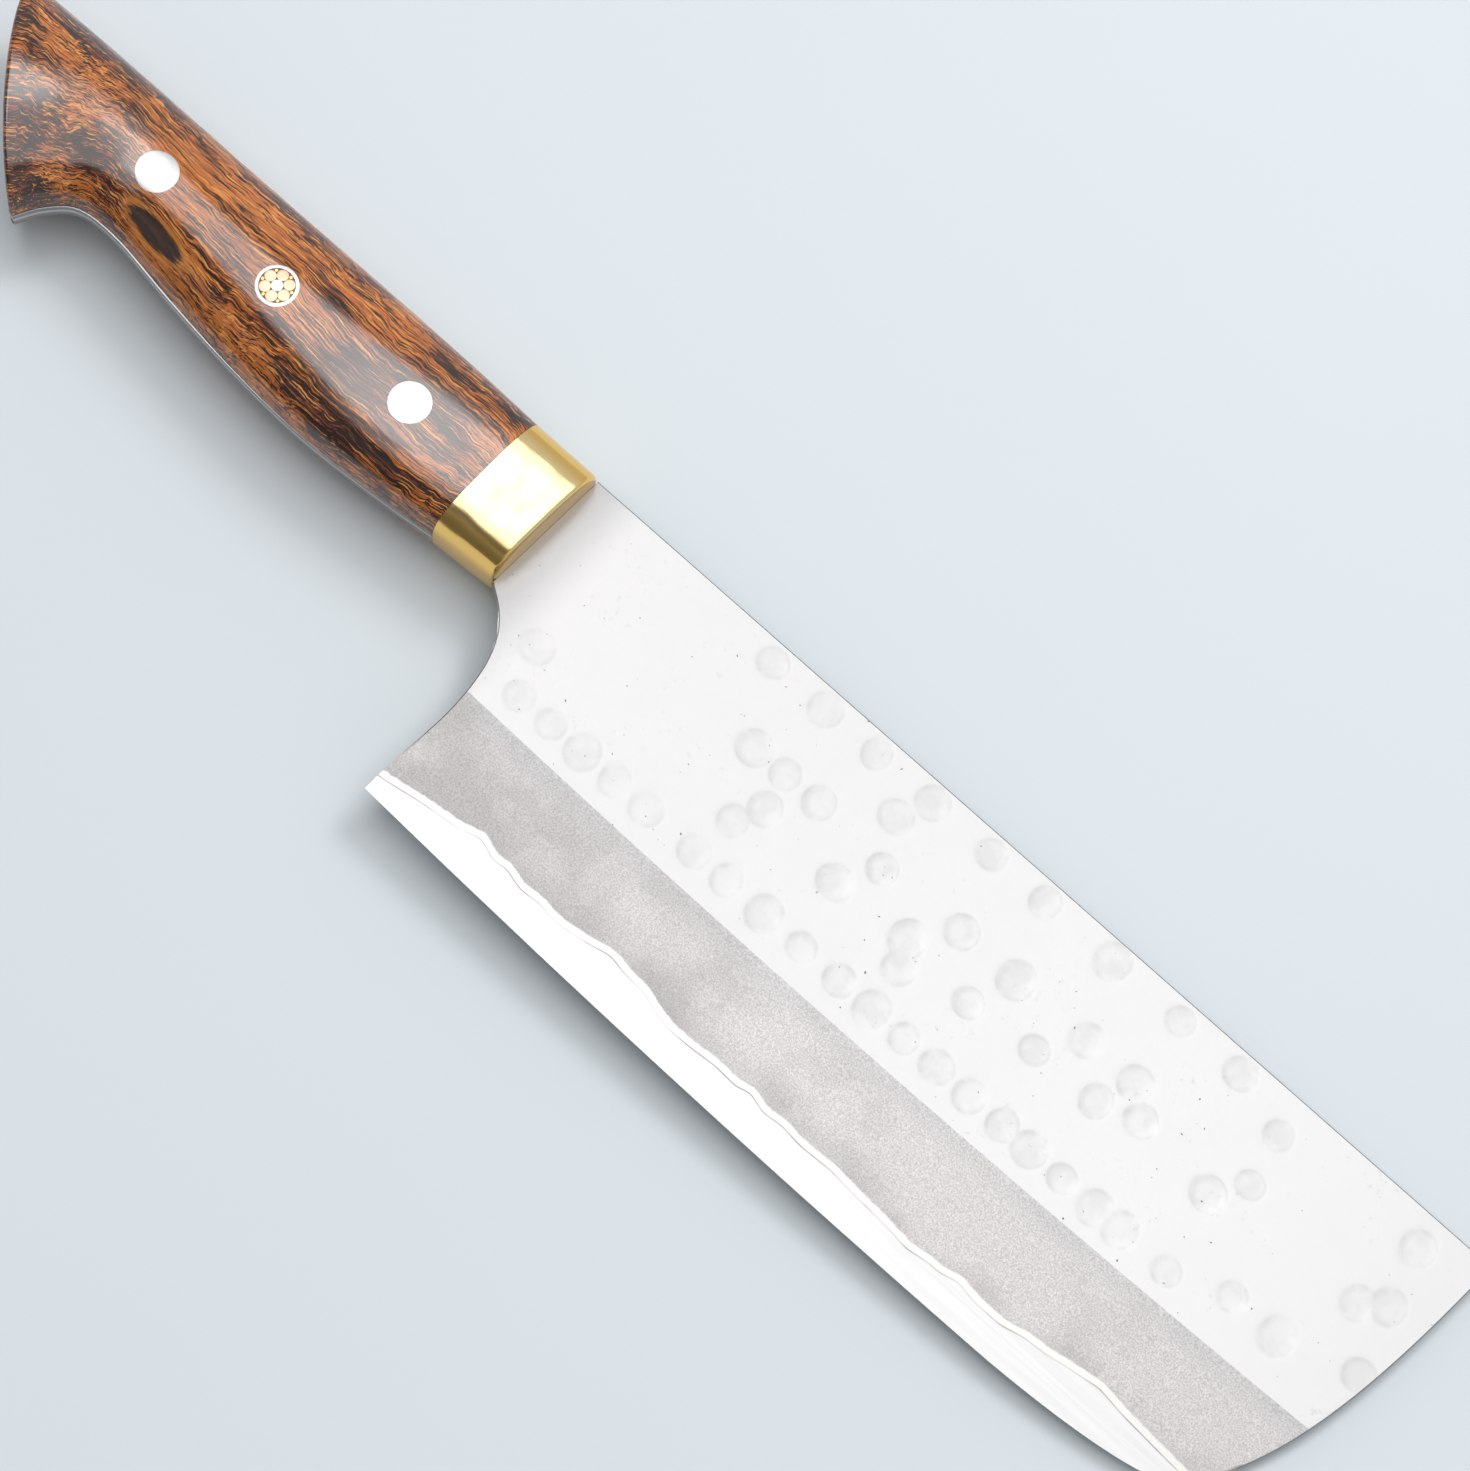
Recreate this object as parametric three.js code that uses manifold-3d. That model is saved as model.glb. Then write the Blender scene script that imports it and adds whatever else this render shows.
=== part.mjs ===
// Nakiri knife: a three-layer blade with a full tang, a brass bolster and two pinned wooden scales.
// Millimetres. The knife lies on its left side: +X to the tip, +Y to the spine, +Z out of the right face.
// Sizes are measured from the bolster's front edge on the spine, at the middle of the blade's thickness.
import * as THREE from 'three';
import { mergeVertices } from 'three/addons/utils/BufferGeometryUtils.js';
import Module from 'manifold-3d';

const wasm = await Module();
wasm.setup();

// Blade layers
const BLADE_THICKNESS = 2.8;
const CORE_THICKNESS = 0.76;
const EDGE_THICKNESS = 0.1;
const WELD_GAP = 0.02;

// Blade outline: the cutting edge and the grind line are shallow parabolas, y = lowest + bow (x - lowestX)^2
const EDGE = { lowest: -56.8, lowestX: 90, bow: 0.00024 };
const GRIND = { lowest: -36.15, lowestX: 68, bow: 0.00022 };
const HEEL_X = 6;
const EDGE_END_X = 120;
const TIP_X = 166.3;
const TIP_TURN = [152.8, -51.6];
const TIP_LOWER_PULLS = [127, -56.5, 149, -55.5];
const TIP_UPPER_PULLS = [162.2, -41.4, 165, -21.4];
const CHOIL_TURN = [7.2, -38.4];
const CHOIL_UPPER_PULLS = [2.4, -23.4, 7.2, -25.9];
const CHOIL_LOWER_PULLS = [7.2, -43, 6.2, -48];

// Handle stations from the bolster to the butt: both ends of each cross line, half thickness and squareness
const HANDLE_STATIONS = [
  { spine: [-11.5, 0.05], belly: [-11.9, -21.9], half: 8.2, power: 3.0 },
  { spine: [-22, 0.4], belly: [-22, -23], half: 8.25, power: 2.9 },
  { spine: [-36, 0.65], belly: [-36, -23.85], half: 8.1, power: 2.7 },
  { spine: [-50, 0.8], belly: [-50, -23.2], half: 7.7, power: 2.4 },
  { spine: [-64, 0.8], belly: [-63, -21.8], half: 7.2, power: 2.2 },
  { spine: [-78, 0.8], belly: [-74.5, -20.2], half: 7.0, power: 2.2 },
  { spine: [-89.6, 0.75], belly: [-81.5, -20.6], half: 7.9, power: 2.3 },
  { spine: [-100.4, 0.6], belly: [-85.3, -23.7], half: 9.3, power: 2.5 },
  { spine: [-110.6, 0.4], belly: [-87.7, -27.8], half: 10.2, power: 2.7 },
];
const HANDLE_STEPS = 24;
const BUTT_BOW = 1.4;
const BUTT_BOW_START = 0.6;
const BUTT_ROUND = 1;

// Bolster
const BOLSTER_LENGTH = 11.45;
const BOLSTER_FRONT = { spine: [0, 0], belly: [-0.9, -21.2], half: 7.9, power: 3.2 };
const BOLSTER_REAR = { spine: [-BOLSTER_LENGTH, 0.05], belly: [-11.85, -21.9], half: 8.2, power: 3.0 };
const BOLSTER_ROUND = 0.8;
const NOTCH_Y = -18.6;

// Pins and fits
const PIN_DIAMETER = 6.35;
const FRONT_PIN = [-26, -11.3];
const MOSAIC_PIN = [-51.6, -11.2];
const REAR_PIN = [-75.9, -10.1];
const BOLSTER_PIN_DIAMETER = 3;
const BOLSTER_PINS = { upper: [-6, -5.5], lower: [-6.2, -14.5] };
const FIT_GAP = 0.05;

// Mosaic pin: rods packed in a tube
const TUBE_WALL = 0.5;
const ROD_COUNT = 6;
const ROD_DIAMETER = 1.64;
const ROD_RING_RADIUS = 1.74;
const THIN_ROD_DIAMETER = 0.48;
const THIN_ROD_RING_RADIUS = 2.33;
const RESIN_DIAMETER = 5.26;
const ROD_GAP = 0.02;
const FIRST_ROD_ANGLE = THREE.MathUtils.degToRad(45);

// Facets and cutting bodies larger than the knife
const ACROSS = 12;
const CURVE_SEGMENTS = 10;
const PIN_SIDES = 28;
const ROD_SIDES = 12;
const REACH = 400;
const WEDGE_STEP = 20;
const WEDGE_RUNOUT = 0.5;
const SPINE_CLEAR = 5;

const STEEL = { color: 0xd8d8d6, roughness: 0.35, metalness: 1 };
const CORE_STEEL = { color: 0xeeeeec, roughness: 0.2, metalness: 1 };
const PIN_STEEL = { color: 0xe6e6e6, roughness: 0.15, metalness: 1 };
const BRASS = { color: 0xd9b548, roughness: 0.15, metalness: 1 };
const COPPER = { color: 0xd08a55, roughness: 0.2, metalness: 1 };
const RESIN = { color: 0x2a201a, roughness: 0.4, metalness: 0 };
const WOOD = { color: 0x7a4019, roughness: 0.3, metalness: 0 };

// Turning meshes into solids and back

function signedVolume(positions, triangles) {
  const corner = (k) => new THREE.Vector3().fromArray(positions, 3 * k);
  let sum = 0;
  for (let i = 0; i < triangles.length; i += 3) {
    sum += corner(triangles[i]).dot(corner(triangles[i + 1]).cross(corner(triangles[i + 2])));
  }
  return sum / 6;
}

function solidOf(geometry) {
  const bare = geometry.clone();
  bare.deleteAttribute('normal');
  bare.deleteAttribute('uv');
  const merged = mergeVertices(bare);
  const positions = Float32Array.from(merged.attributes.position.array);
  const triangles = Uint32Array.from(merged.index.array);
  if (signedVolume(positions, triangles) < 0) triangles.reverse();
  return new wasm.Manifold(new wasm.Mesh({ numProp: 3, vertProperties: positions, triVerts: triangles }));
}

function geometryOf(solid) {
  const mesh = solid.getMesh();
  const geometry = new THREE.BufferGeometry();
  geometry.setAttribute('position', new THREE.BufferAttribute(mesh.vertProperties, 3));
  geometry.setIndex(new THREE.BufferAttribute(mesh.triVerts, 1));
  geometry.computeVertexNormals();
  return geometry;
}

// Basic bodies

function rod([x, y], diameter, sides) {
  const geometry = new THREE.CylinderGeometry(diameter / 2, diameter / 2, REACH, sides);
  geometry.rotateX(Math.PI / 2);
  geometry.translate(x, y, 0);
  return solidOf(geometry);
}

function slab(thickness, centreZ) {
  const geometry = new THREE.BoxGeometry(REACH, REACH, thickness);
  geometry.translate(0, 0, centreZ);
  return solidOf(geometry);
}

// A ring runs over one side of the piece and back under it, so point i faces point (length - i)
function loft(rings) {
  const count = rings[0].length;
  const triangles = [];
  const quad = (a, b, c, d) => triangles.push(a, b, c, a, c, d);
  for (let r = 0; r + 1 < rings.length; r += 1) {
    for (let i = 0; i < count; i += 1) {
      const next = (i + 1) % count;
      quad(r * count + i, r * count + next, (r + 1) * count + next, (r + 1) * count + i);
    }
  }
  const last = (rings.length - 1) * count;
  triangles.push(0, count - 1, 1, last, last + 1, last + count - 1);
  for (let i = 1; i + 1 < count / 2; i += 1) {
    quad(i, count - i, count - i - 1, i + 1);
    quad(last + i, last + i + 1, last + count - i - 1, last + count - i);
  }
  const half = count / 2;
  triangles.push(half - 1, half + 1, half, last + half - 1, last + half, last + half + 1);
  const geometry = new THREE.BufferGeometry();
  const positions = rings.flat().flatMap((point) => point.toArray());
  geometry.setAttribute('position', new THREE.Float32BufferAttribute(positions, 3));
  geometry.setIndex(triangles);
  return solidOf(geometry);
}

// Handle form

const stationVectors = (key) => HANDLE_STATIONS.map((station) => new THREE.Vector2(...station[key]));
const spineLine = new THREE.SplineCurve(stationVectors('spine'));
const bellyLine = new THREE.SplineCurve(stationVectors('belly'));
const fullness = new THREE.SplineCurve(HANDLE_STATIONS.map(({ half, power }) => new THREE.Vector2(half, power)));

function handleSection(along) {
  const spine = spineLine.getPoint(along);
  const belly = bellyLine.getPoint(along);
  const { x: half, y: power } = fullness.getPoint(along);
  const line = spine.clone().sub(belly).normalize();
  const outward = new THREE.Vector2(-line.y, line.x);
  const bow = outward.clone().multiplyScalar(BUTT_BOW * THREE.MathUtils.smoothstep(along, BUTT_BOW_START, 1));
  return { spine, belly, half, power, outward, bow };
}

function inset(section, amount) {
  const line = section.spine.clone().sub(section.belly).setLength(amount);
  const spine = section.spine.clone().sub(line);
  const belly = section.belly.clone().add(line);
  return { ...section, spine, belly, half: section.half - amount };
}

function buttFace() {
  const section = inset(handleSection(1), BUTT_ROUND);
  const step = section.outward.clone().multiplyScalar(BUTT_ROUND);
  section.spine.add(step);
  section.belly.add(step);
  return section;
}

function crossPoint(section, across) {
  const bulge = section.bow.clone().multiplyScalar(4 * across * (1 - across));
  return section.belly.clone().lerp(section.spine, across).add(bulge);
}

// Superellipse over the cross line: the whole section, or one side of it from a flat floor up
function sectionRing(section, side = 1, floor = 0) {
  const { half, power } = section;
  const start = Math.asin((floor / half) ** (power / 2));
  const upper = [];
  const lower = [];
  for (let i = 0; i <= ACROSS; i += 1) {
    const angle = start + ((Math.PI - 2 * start) * i) / ACROSS;
    const reach = Math.cos(angle);
    const across = 0.5 + 0.5 * Math.sign(reach) * Math.abs(reach) ** (2 / power);
    const rise = half * Math.sin(angle) ** (2 / power);
    const isEnd = i === 0 || i === ACROSS;
    const height = isEnd ? floor : rise;
    const { x, y } = crossPoint(section, across);
    upper.push(new THREE.Vector3(x, y, side * height));
    if (!isEnd) lower.push(new THREE.Vector3(x, y, side * (floor > 0 ? floor : -height)));
  }
  return [...upper, ...lower.reverse()];
}

const handleSections = [];
for (let i = 0; i <= HANDLE_STEPS; i += 1) handleSections.push(handleSection(i / HANDLE_STEPS));
handleSections.push(buttFace());
const handleBody = loft(handleSections.map((section) => sectionRing(section)));

// Blade and tang

const parabola = (line, x) => line.lowest + line.bow * (Math.max(x, HEEL_X) - line.lowestX) ** 2;
const slantX = ({ spine, belly }, y) => THREE.MathUtils.mapLinear(y, spine[1], belly[1], spine[0], belly[0]);

function bladeOutline() {
  const outline = new THREE.Shape();
  outline.moveTo(TIP_X, 0);
  outline.lineTo(0, 0);
  for (const { spine } of handleSections) outline.lineTo(spine.x, spine.y);
  const butt = handleSections.at(-1);
  for (let i = 1; i < ACROSS; i += 1) {
    const { x, y } = crossPoint(butt, 1 - i / ACROSS);
    outline.lineTo(x, y);
  }
  for (const { belly } of handleSections.toReversed()) outline.lineTo(belly.x, belly.y);
  outline.lineTo(slantX(HANDLE_STATIONS[0], NOTCH_Y), NOTCH_Y);
  outline.lineTo(slantX(BOLSTER_FRONT, NOTCH_Y) + FIT_GAP, NOTCH_Y);
  outline.lineTo(BOLSTER_FRONT.belly[0] + FIT_GAP, BOLSTER_FRONT.belly[1]);
  outline.bezierCurveTo(...CHOIL_UPPER_PULLS, ...CHOIL_TURN);
  outline.bezierCurveTo(...CHOIL_LOWER_PULLS, HEEL_X, parabola(EDGE, HEEL_X));
  const pullX = (HEEL_X + EDGE_END_X) / 2;
  const heelSlope = 2 * EDGE.bow * (HEEL_X - EDGE.lowestX);
  const pullY = parabola(EDGE, HEEL_X) + heelSlope * (pullX - HEEL_X);
  outline.quadraticCurveTo(pullX, pullY, EDGE_END_X, parabola(EDGE, EDGE_END_X));
  outline.bezierCurveTo(...TIP_LOWER_PULLS, ...TIP_TURN);
  outline.bezierCurveTo(...TIP_UPPER_PULLS, TIP_X, 0);
  return outline;
}

function wedgeRing(x) {
  const thick = BLADE_THICKNESS / 2;
  const thin = EDGE_THICKNESS / 2;
  const edge = parabola(EDGE, x);
  const grind = parabola(GRIND, x);
  const bottom = edge - WEDGE_RUNOUT;
  const bottomHalf = thin - (WEDGE_RUNOUT * (thick - thin)) / (grind - edge);
  const side = (sign) => [
    new THREE.Vector3(x, SPINE_CLEAR, sign * thick),
    new THREE.Vector3(x, grind, sign * thick),
    new THREE.Vector3(x, bottom, sign * bottomHalf),
  ];
  const top = new THREE.Vector3(x, 2 * SPINE_CLEAR, 0);
  const foot = new THREE.Vector3(x, bottom - WEDGE_RUNOUT, 0);
  return [top, ...side(1), foot, ...side(-1).reverse()];
}

function bladeBody() {
  const geometry = new THREE.ExtrudeGeometry(bladeOutline(), {
    depth: 2 * BLADE_THICKNESS,
    bevelEnabled: false,
    curveSegments: CURVE_SEGMENTS,
  });
  geometry.translate(0, 0, -BLADE_THICKNESS);
  const rings = [wedgeRing(-REACH / 2)];
  for (let x = HEEL_X; x < TIP_X + WEDGE_STEP; x += WEDGE_STEP) rings.push(wedgeRing(x));
  let body = solidOf(geometry).intersect(loft(rings));
  for (const place of [FRONT_PIN, MOSAIC_PIN, REAR_PIN]) {
    body = body.subtract(rod(place, PIN_DIAMETER + 2 * FIT_GAP, PIN_SIDES));
  }
  for (const place of Object.values(BOLSTER_PINS)) {
    body = body.subtract(rod(place, BOLSTER_PIN_DIAMETER + 2 * FIT_GAP, ROD_SIDES));
  }
  return body;
}

// Bolster: a collar slotted from the spine down, with its belly closed under the notched tang

function bolsterSection(along) {
  const mix = (key) => {
    const front = new THREE.Vector2(...BOLSTER_FRONT[key]);
    return front.lerp(new THREE.Vector2(...BOLSTER_REAR[key]), along);
  };
  return {
    spine: mix('spine'),
    belly: mix('belly'),
    half: THREE.MathUtils.lerp(BOLSTER_FRONT.half, BOLSTER_REAR.half, along),
    power: THREE.MathUtils.lerp(BOLSTER_FRONT.power, BOLSTER_REAR.power, along),
    bow: new THREE.Vector2(),
  };
}

function bolsterCollar() {
  const roundSteps = 4;
  const sections = [];
  for (let i = 0; i <= roundSteps; i += 1) {
    const angle = (Math.PI / 2) * (i / roundSteps);
    const along = (BOLSTER_ROUND * (1 - Math.cos(angle))) / BOLSTER_LENGTH;
    sections.push(inset(bolsterSection(along), BOLSTER_ROUND * (1 - Math.sin(angle))));
  }
  sections.push(bolsterSection(1));
  return loft(sections.map((section) => sectionRing(section)));
}

function bolsterSlot() {
  const height = SPINE_CLEAR - NOTCH_Y;
  const geometry = new THREE.BoxGeometry(4 * BOLSTER_LENGTH, height, BLADE_THICKNESS + 2 * FIT_GAP);
  geometry.translate(0, NOTCH_Y - FIT_GAP + height / 2, 0);
  return solidOf(geometry);
}

// Scales

function scale(side) {
  const floor = BLADE_THICKNESS / 2 + FIT_GAP;
  let body = loft(handleSections.map((section) => sectionRing(section, side, floor)));
  for (const place of [FRONT_PIN, MOSAIC_PIN, REAR_PIN]) {
    body = body.subtract(rod(place, PIN_DIAMETER + 2 * FIT_GAP, PIN_SIDES));
  }
  return body;
}

// Assembly

const knife = new THREE.Group();

function addPiece(name, solid, finish) {
  const mesh = new THREE.Mesh(geometryOf(solid), new THREE.MeshStandardMaterial(finish));
  mesh.name = name;
  knife.add(mesh);
}

function addBlade() {
  const body = bladeBody();
  const inner = CORE_THICKNESS / 2 + WELD_GAP;
  const layer = BLADE_THICKNESS - inner;
  addPiece('core_steel', body.intersect(slab(CORE_THICKNESS, 0)), CORE_STEEL);
  addPiece('right_cladding', body.intersect(slab(layer, inner + layer / 2)), STEEL);
  addPiece('left_cladding', body.intersect(slab(layer, -inner - layer / 2)), STEEL);
}

function addBolster() {
  const collar = bolsterCollar();
  let body = collar.subtract(bolsterSlot());
  for (const [name, place] of Object.entries(BOLSTER_PINS)) {
    body = body.subtract(rod(place, BOLSTER_PIN_DIAMETER + 2 * FIT_GAP, ROD_SIDES));
    addPiece(`bolster_pin_${name}`, rod(place, BOLSTER_PIN_DIAMETER, ROD_SIDES).intersect(collar), BRASS);
  }
  addPiece('bolster', body, BRASS);
}

function addMosaicPin() {
  const [x, y] = MOSAIC_PIN;
  const boreDiameter = PIN_DIAMETER - 2 * TUBE_WALL;
  const flush = (solid) => solid.intersect(handleBody);
  const outside = rod(MOSAIC_PIN, PIN_DIAMETER, PIN_SIDES);
  addPiece('mosaic_tube', flush(outside.subtract(rod(MOSAIC_PIN, boreDiameter, PIN_SIDES))), PIN_STEEL);
  let resin = rod(MOSAIC_PIN, RESIN_DIAMETER, PIN_SIDES);
  const addRod = (name, place, diameter, finish) => {
    resin = resin.subtract(rod(place, diameter + 2 * ROD_GAP, ROD_SIDES));
    addPiece(name, flush(rod(place, diameter, ROD_SIDES)), finish);
  };
  const around = (radius, angle) => [x + radius * Math.cos(angle), y + radius * Math.sin(angle)];
  const pitch = (2 * Math.PI) / ROD_COUNT;
  addRod('mosaic_centre_rod', MOSAIC_PIN, ROD_DIAMETER, PIN_STEEL);
  for (let i = 0; i < ROD_COUNT; i += 1) {
    const angle = FIRST_ROD_ANGLE + i * pitch;
    const thinPlace = around(THIN_ROD_RING_RADIUS, angle + pitch / 2);
    addRod(`mosaic_copper_rod_${i + 1}`, around(ROD_RING_RADIUS, angle), ROD_DIAMETER, COPPER);
    addRod(`mosaic_brass_rod_${i + 1}`, thinPlace, THIN_ROD_DIAMETER, BRASS);
  }
  addPiece('mosaic_epoxy', flush(resin), RESIN);
}

addBlade();
addBolster();
addPiece('right_scale', scale(1), WOOD);
addPiece('left_scale', scale(-1), WOOD);
addPiece('front_pin', rod(FRONT_PIN, PIN_DIAMETER, PIN_SIDES).intersect(handleBody), PIN_STEEL);
addPiece('rear_pin', rod(REAR_PIN, PIN_DIAMETER, PIN_SIDES).intersect(handleBody), PIN_STEEL);
addMosaicPin();

// The origin is at the middle of the underside of the knife's box
const box = new THREE.Box3().setFromObject(knife);
const centre = box.getCenter(new THREE.Vector3());
knife.position.set(-centre.x, -centre.y, -box.min.z);

export default knife;
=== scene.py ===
"""Looks of a nakiri knife: a hammered three-layer blade, a brass bolster and a pinned wooden handle.

Lengths are in millimetres from the bolster's front edge on the spine, at the middle of the blade:
+X runs to the tip, +Y to the spine and +Z out of the right face.
"""
import math

import bpy
import numpy as np
from mathutils import Matrix, Vector


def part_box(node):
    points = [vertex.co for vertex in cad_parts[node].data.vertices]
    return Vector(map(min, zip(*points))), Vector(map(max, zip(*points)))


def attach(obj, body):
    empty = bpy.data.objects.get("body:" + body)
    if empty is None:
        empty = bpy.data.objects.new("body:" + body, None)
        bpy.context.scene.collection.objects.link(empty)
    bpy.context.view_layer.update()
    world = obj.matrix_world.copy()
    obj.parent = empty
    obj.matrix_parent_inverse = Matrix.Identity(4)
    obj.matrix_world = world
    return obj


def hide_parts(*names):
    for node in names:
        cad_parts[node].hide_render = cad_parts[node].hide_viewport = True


bl_info = {
    "name": "Nakiri knife",
    "version": (1, 0, 0),
    "blender": (4, 5, 0),
    "location": "View3D > Sidebar > Knife",
    "description": "Builds the finished pieces of a nakiri knife around its packed solids",
    "category": "Add Mesh",
}

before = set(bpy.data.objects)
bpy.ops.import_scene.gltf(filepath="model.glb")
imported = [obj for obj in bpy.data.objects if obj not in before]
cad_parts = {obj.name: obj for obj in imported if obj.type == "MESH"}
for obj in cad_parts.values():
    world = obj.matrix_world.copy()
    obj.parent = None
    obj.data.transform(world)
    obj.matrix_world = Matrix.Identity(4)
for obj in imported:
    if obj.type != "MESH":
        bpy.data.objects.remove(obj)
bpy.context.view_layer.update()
MM = 0.001
SIDES = {"right": 1, "left": -1}

# Blade layers: half thicknesses, the weld, and the steel kept over the core and in a cladding's walls
BLADE_HALF = 1.4
CORE_HALF = 0.38
EDGE_HALF = 0.05
WELD_GAP = 0.02
CORE_COVER = 0.05
LEAST_WALL = 0.03

# Eased edges of the claddings, which fade out where the blade is thin
EASED_EDGE = 0.18
EASING_START = 0.45
EASING_RUN = 0.5

# Blade outline: the cutting edge and the grind line are shallow parabolas
EDGE_LOWEST = (90, -56.79)
EDGE_BOW = 0.00024
GRIND_LOWEST = (68, -36.15)
GRIND_BOW = 0.00022
HEEL_X = 6
EDGE_END_X = 120
TIP_X = 166.3
TIP_TURN = (152.8, -51.6)
TIP_TURN_RUN = 2.2
TIP_LOWER_PULLS = ((127, -56.5), (149, -55.5))
TIP_UPPER_PULLS = ((162.2, -41.4), (165, -21.4))
CHOIL_START = (-0.88, -21.2)
CHOIL_TURN = (7.2, -38.4)
CHOIL_UPPER_PULLS = ((2.4, -23.4), (7.2, -25.9))
CHOIL_LOWER_PULLS = ((7.2, -43), (6.2, -48))
HEEL_Y = -55.1

# Wavy upper limit of the polished band, from the heel to the tip
BAND_LINE = (
    (5, -51.6), (8, -51.2), (13, -50.3), (19.6, -49.5), (22.7, -48.4), (26.2, -49.6), (28.3, -49.2),
    (31.5, -50.1), (35, -49.8), (38.2, -50.2), (42.9, -49.6), (47.2, -48.6), (50.6, -49.2), (53.8, -49.2),
    (57, -50.2), (60, -50.8), (64, -50.7), (68, -50.3), (72.5, -50.5), (74, -49.8), (77.5, -50.7),
    (80.3, -50.3), (84.3, -50.7), (89.5, -50.4), (95, -50.8), (100, -51), (104.4, -51.5), (107.7, -50.9),
    (110.1, -50.9), (112.6, -50.1), (115.9, -50.7), (120.8, -50.7), (124.2, -49.8), (128, -49.5),
    (131, -48.9), (136.5, -48.1), (141.2, -48.7), (147.3, -49.1), (153, -49.4), (160, -49.4),
)
BAND_ROUNDING = 0.9
BAND_SAMPLES = 7

# Hammer marks: rows of shallow ones, as the height of a row and the places along it, then the deep ones
SHALLOW_ROWS = (
    (-3, (36, 46, 55.5, 66, 77, 87, 99.5, 112, 123)),
    (-5, (157,)),
    (-6, (132.5,)),
    (-8, (63.5,)),
    (-14, (48, 104, 113, 134, 159)),
    (-16.5, (155.5,)),
    (-20, (99.5,)),
    (-24, (10, 47, 78, 162)),
    (-27.5, (142, 150)),
    (-31, (13, 19, 25, 31, 37, 46, 52, 59, 66, 73, 79, 85, 91, 97, 103, 108, 114, 120, 124.5, 133)),
)
DEEP_MARKS = (
    (42.3, -14.1), (49.2, -19.7), (54.2, -13.9), (63.3, -20.9), (67, -15), (76.2, -20.1), (81.1, -14.2),
    (88.3, -21.2), (91.2, -14.2), (110.5, -19.6), (116.9, -17.5), (130.4, -18.9),
)
DEEP_FACTOR = 1.6
MARK_FLOOR = 0.5
MARK_SIZE_SWING = 0.1
MARK_SIZE_STEP = 2.4
MARK_SHAPE_SWING = 0.08
MARK_SHAPE_STEP = 1.7
MARK_FADE = (0.1, 0.9)
LEFT_FACE_SHIFT = 4

# Handle stations from the bolster to the butt
SPINE_LINE = (
    (-11.5, 0.05), (-22, 0.4), (-36, 0.65), (-50, 0.8), (-64, 0.8), (-78, 0.8), (-89.6, 0.75),
    (-100.4, 0.6), (-110.6, 0.4),
)
BELLY_LINE = (
    (-11.9, -21.9), (-22, -23), (-36, -23.85), (-50, -23.2), (-63, -21.8), (-74.5, -20.2),
    (-81.5, -20.6), (-85.3, -23.7), (-87.7, -27.8),
)
HALF_AND_POWER = (
    (8.2, 3.0), (8.25, 2.85), (8.1, 2.55), (7.7, 2.2), (7.25, 2.0), (7.0, 2.0), (7.9, 2.1), (9.3, 2.2),
    (10.2, 2.25),
)
BUTT_BOW = 1.4
BUTT_BOW_START = 0.6
BUTT_ROUND = 1.0
BUTT_SHIFT = 0.6
SCALE_FLOOR = 1.45

# Bolster
BOLSTER_LENGTH = 11.45
BOLSTER_FRONT = {"spine": (0, 0), "belly": (-0.9, -21.2), "half": 7.9, "power": 3.2}
BOLSTER_REAR = {"spine": (-BOLSTER_LENGTH, 0.05), "belly": (-11.85, -21.9), "half": 8.2, "power": 3.0}
BOLSTER_ROUND = 0.8
NOTCH_Y = -18.6
# Heights from the blade's middle over which the bolster's painted highlight fades in
CROWN_RISE = (6.8, 7.5)
COLLAR_START = 0.12
BOLSTER_PINS = {"bolster_pin_upper": (-6, -5.5), "bolster_pin_lower": (-6.2, -14.5)}
BOLSTER_PIN_RADIUS = 1.5
BOLSTER_PIN_REACH = 7.1

# Pins
FRONT_PIN = (-26, -11.3)
MOSAIC_PIN = (-51.6, -11.2)
REAR_PIN = (-75.9, -10.1)
HANDLE_PINS = (FRONT_PIN, MOSAIC_PIN, REAR_PIN)
PIN_RADIUS = 3.175
PIN_REACH = 8
PIN_RIM = 0.02
PIN_GAP = 0.02
FIT_GAP = 0.05
END_INSETS = (0.06, 0.3, 0.3)
RIM_START = 0.98
TUBE_BORE_RADIUS = 2.675
RESIN_RADIUS = 2.63
RESIN_DROP = 0.05
ROD_COUNT = 6
ROD_RADIUS = 0.86
ROD_RING_RADIUS = 1.745
THIN_ROD_RADIUS = 0.24
THIN_ROD_RING_RADIUS = 2.33
FIRST_ROD_ANGLE = math.radians(45)
ROD_GAP = 0.01
ROD_RIM = 0.004

# Figure of the wood, in millimetres along the handle from the bolster and across it from the belly:
# its whole length and height, a knot, then darker and lighter patches as middle, reach and strength; the
# patches are partly the wood's figure and partly painted shade, as under the highlight and at the butt's
# lower corner
GRAIN_LENGTH = 99
GRAIN_HEIGHT = 23
KNOT_PLACE = (56.6, 4.3)
KNOT_REACH = (7.2, 2.0)
FIGURE_AND_SHADE_PATCHES = (
    ((93, 17), (6, 2.5), -0.12), ((84, 19.5), (7, 2.5), 0.2), ((92, 7.5), (7, 2.5), 0.2),
    ((76, 6), (7, 1.6), 0.2), ((76, 2.4), (6, 1.4), -0.1), ((89, 1.5), (5, 2), 0.16),
    ((50, 16), (10, 3.5), -0.12), ((34, 7), (4, 2), 0.1), ((30, 3), (3, 1.4), 0.2),
    ((38, 2.5), (7, 2), -0.08), ((17, 19.7), (3, 1.2), 0.2), ((14.7, 6), (4, 1.2), 0.18),
    ((49.3, 5), (2.2, 1), -0.2), ((6, 11), (8, 5), 0.09),
)

# Colours within the blasted bevel
GRIND_STRIP_COLOUR = (0.42, 0.445, 0.47)
SPECKLE_COLOUR = (0.175, 0.167, 0.16)
WELD_LINE_COLOUR = (0.16, 0.13, 0.11)

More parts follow.
